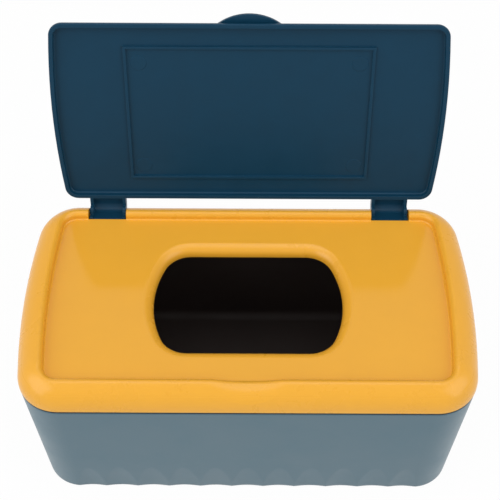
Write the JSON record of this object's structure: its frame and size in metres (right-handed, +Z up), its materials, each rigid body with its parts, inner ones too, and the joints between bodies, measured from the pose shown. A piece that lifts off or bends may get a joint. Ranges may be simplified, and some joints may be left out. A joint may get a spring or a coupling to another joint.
{
  "type": "baby wipes box",
  "caption": "Rectangular baby wipes box: tapering tub with a fluted foot, rounded cover with a sunk panel and a wipes opening, and a lid on two hinge arms, shown open.",
  "frame": {"origin": "centre of the tub's underside, on the surface that the box stands on", "axes": "+X to the right along the box's length, +Y to the hinge side at the back, +Z up"},
  "size_m": [0.1996, 0.1334, 0.1743],
  "materials": {
    "tub_plastic": "satin slate grey moulding",
    "cover_plastic": "glossy warm yellow moulding",
    "lid_plastic": "glossy dark teal moulding",
    "seal_rubber": "soft dark seal",
    "pad_rubber": "soft dark pads"
  },
  "bodies": {
    "tub_body": {"tub": "tub_plastic", "cover_seal": "seal_rubber", "foot_pad_front_left": "pad_rubber", "foot_pad_front_right": "pad_rubber", "foot_pad_rear_left": "pad_rubber", "foot_pad_rear_right": "pad_rubber"},
    "cover_body": {"top_cover": "cover_plastic"},
    "lid_body": {"flip_lid": "lid_plastic"}
  },
  "joints": [
    {"name": "lid_hinge", "type": "hinge", "parent": "cover_body", "child": "lid_body", "pos_m": [0, 0.0504, 0.08045], "axis": [1, 0, 0], "range_deg": [0, 104]},
    {"name": "cover_lift", "type": "slide", "parent": "tub_body", "child": "cover_body", "axis": [0, 0, 1], "range_m": [0, 0.04]}
  ]
}
